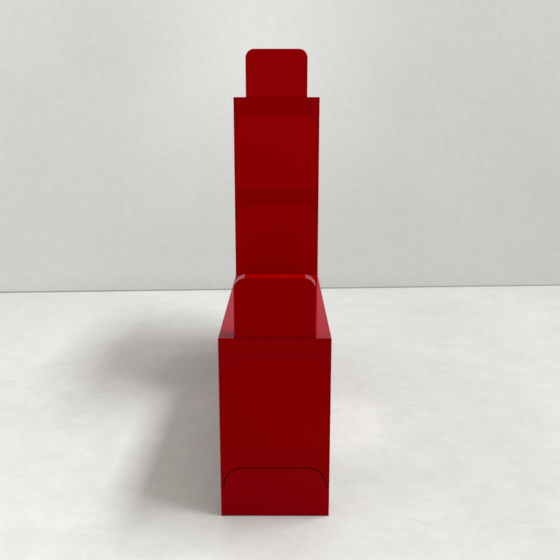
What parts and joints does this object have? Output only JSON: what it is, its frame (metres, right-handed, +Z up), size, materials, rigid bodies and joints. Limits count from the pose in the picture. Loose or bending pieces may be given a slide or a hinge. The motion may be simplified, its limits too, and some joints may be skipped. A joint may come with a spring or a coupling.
{
  "type": "modular shelving unit",
  "caption": "Stepped plug-together shelving unit: a low bay before a tall one, rounded hollow uprights with tabs that stand up through saddle-ended shelves.",
  "frame": {"origin": "on the floor, at the middle of the unit's footprint, under the middle uprights", "axes": "+Z up; +Y along the run, from the low bay to the tall bay; +X across the shelf depth, to the right of a viewer who faces the low bay's end"},
  "size_m": [0.3, 1.606, 1.311],
  "materials": {
    "upright_plastic": "gloss moulded red plastic, broad faces lightly rippled",
    "shelf_plastic": "gloss moulded red plastic, deck lightly scuffed",
    "cap_plastic": "gloss moulded red plastic",
    "foot_plastic": "gloss moulded red plastic, scuffed at the floor",
    "pad_rubber": "matt black"
  },
  "bodies": {
    "base": {"foot_near": "foot_plastic", "foot_middle": "foot_plastic", "foot_far": "foot_plastic", "foot_pads": "pad_rubber"},
    "bottom_shelves": {"shelf_0_low": "shelf_plastic", "shelf_0_tall": "shelf_plastic", "cap_0_near": "cap_plastic", "cap_0_far": "cap_plastic"},
    "first_uprights": {"upright_1_near": "upright_plastic", "upright_1_middle": "upright_plastic", "upright_1_far": "upright_plastic"},
    "second_shelves": {"shelf_1_low": "shelf_plastic", "shelf_1_tall": "shelf_plastic", "cap_1_near": "cap_plastic", "cap_1_far": "cap_plastic"},
    "second_uprights": {"upright_2_middle": "upright_plastic", "upright_2_far": "upright_plastic"},
    "third_shelf": {"shelf_2_tall": "shelf_plastic", "cap_2_middle": "cap_plastic", "cap_2_far": "cap_plastic"},
    "third_uprights": {"upright_3_middle": "upright_plastic", "upright_3_far": "upright_plastic"},
    "top_shelf": {"shelf_3_tall": "shelf_plastic", "cap_3_middle": "cap_plastic", "cap_3_far": "cap_plastic"}
  },
  "joints": [
    {"name": "lift_bottom_shelves", "type": "slide", "parent": "base", "child": "bottom_shelves", "axis": [0, 0, 1], "range_m": [0, 0.23]},
    {"name": "lift_first_uprights", "type": "slide", "parent": "bottom_shelves", "child": "first_uprights", "axis": [0, 0, 1], "range_m": [0, 0.176]},
    {"name": "lift_second_shelves", "type": "slide", "parent": "first_uprights", "child": "second_shelves", "axis": [0, 0, 1], "range_m": [0, 0.23]},
    {"name": "lift_second_uprights", "type": "slide", "parent": "second_shelves", "child": "second_uprights", "axis": [0, 0, 1], "range_m": [0, 0.176]},
    {"name": "lift_third_shelf", "type": "slide", "parent": "second_uprights", "child": "third_shelf", "axis": [0, 0, 1], "range_m": [0, 0.23]},
    {"name": "lift_third_uprights", "type": "slide", "parent": "third_shelf", "child": "third_uprights", "axis": [0, 0, 1], "range_m": [0, 0.176]},
    {"name": "lift_top_shelf", "type": "slide", "parent": "third_uprights", "child": "top_shelf", "axis": [0, 0, 1], "range_m": [0, 0.23]}
  ]
}
